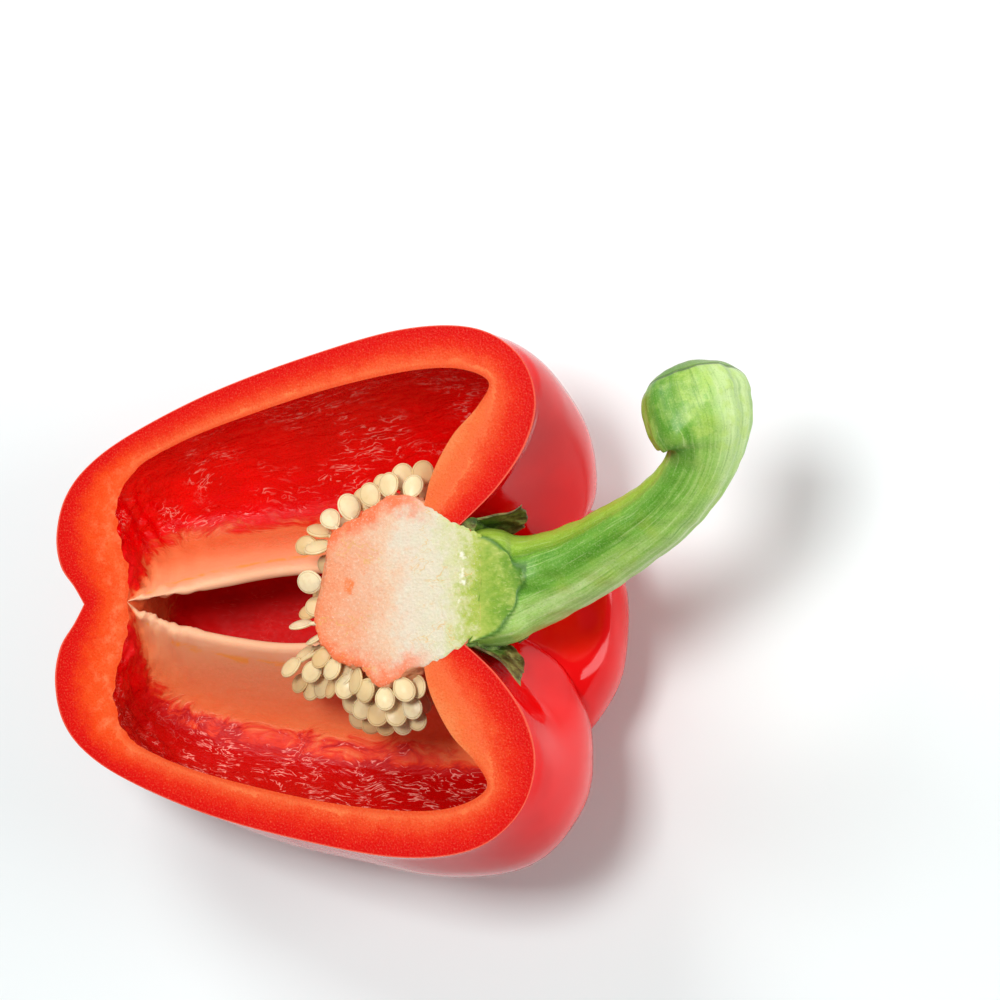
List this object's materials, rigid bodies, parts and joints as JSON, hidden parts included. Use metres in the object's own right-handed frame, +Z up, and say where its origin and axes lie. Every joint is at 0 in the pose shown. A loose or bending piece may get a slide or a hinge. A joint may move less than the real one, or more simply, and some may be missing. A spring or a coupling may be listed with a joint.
{
  "type": "halved bell pepper",
  "caption": "Half of a red bell pepper, cut lengthwise and lying on its back: hollow lobed wall with septa, pale seeded core, leafy calyx and curved green stem",
  "frame": {"origin": "centre of the bounding box, on the table under the half", "axes": "+X from the blossom end to the stem, +Y across the cut face, +Z up; the cut face looks up, with its stem end raised by 12 degrees"},
  "size_m": [0.1303, 0.0913, 0.067],
  "materials": {
    "flesh": "waxy glossy red skin, moist orange-red cut flesh",
    "placenta": "moist pale core, green towards the stem",
    "seeds": "satin cream",
    "calyx": "dull dark green, brown at the tips",
    "stem": "satin green with fine ribs"
  },
  "bodies": {
    "root": {"flesh": "flesh", "placenta": "placenta", "seeds": "seeds", "calyx": "calyx", "stem": "stem"}
  },
  "joints": []
}
